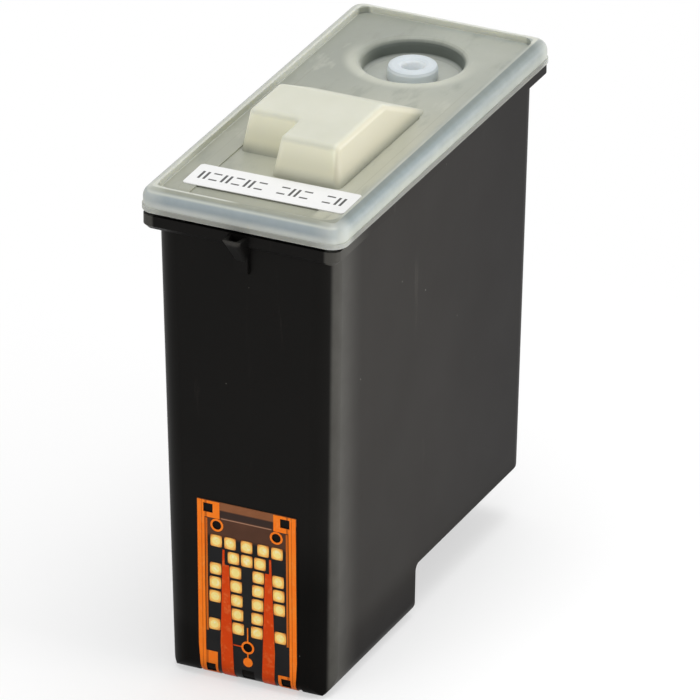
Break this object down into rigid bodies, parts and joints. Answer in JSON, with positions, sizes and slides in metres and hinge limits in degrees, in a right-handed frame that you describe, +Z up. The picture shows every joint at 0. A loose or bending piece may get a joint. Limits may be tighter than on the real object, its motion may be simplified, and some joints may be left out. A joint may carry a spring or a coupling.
{
  "type": "inkjet ink cartridge",
  "caption": "Tall narrow black ink cartridge with a foot for the printhead, a contact circuit on its front face, and a translucent lid with a finger grip and a round well.",
  "frame": {"origin": "centre of the nozzle plate's outer face, under the foot", "axes": "+Z up towards the lid, -Y towards the contact face, +X to the right of the contact face"},
  "size_m": [0.0268, 0.0628, 0.0688],
  "materials": {
    "shell_black": "satin moulded",
    "lid_clear": "natural translucent, satin",
    "plug_soft": "soft translucent",
    "label_paper": "smooth white",
    "foam": "open cell, soaked",
    "screen_steel": "woven",
    "film_amber": "thin amber film over black",
    "copper": "copper under amber film",
    "gold": "plated",
    "silicon": "polished",
    "plate_gold": "plated",
    "bead_dark": "cured resin"
  },
  "bodies": {
    "root": {"body": "shell_black", "lid": "lid_clear", "fill_plug": "plug_soft", "label": "label_paper", "ink_foam": "foam", "filter_screen": "screen_steel", "flex_film": "film_amber", "copper_traces": "copper", "contact_pads": "gold", "printhead_chip": "silicon", "nozzle_plate": "plate_gold", "encapsulant": "bead_dark"}
  },
  "joints": []
}
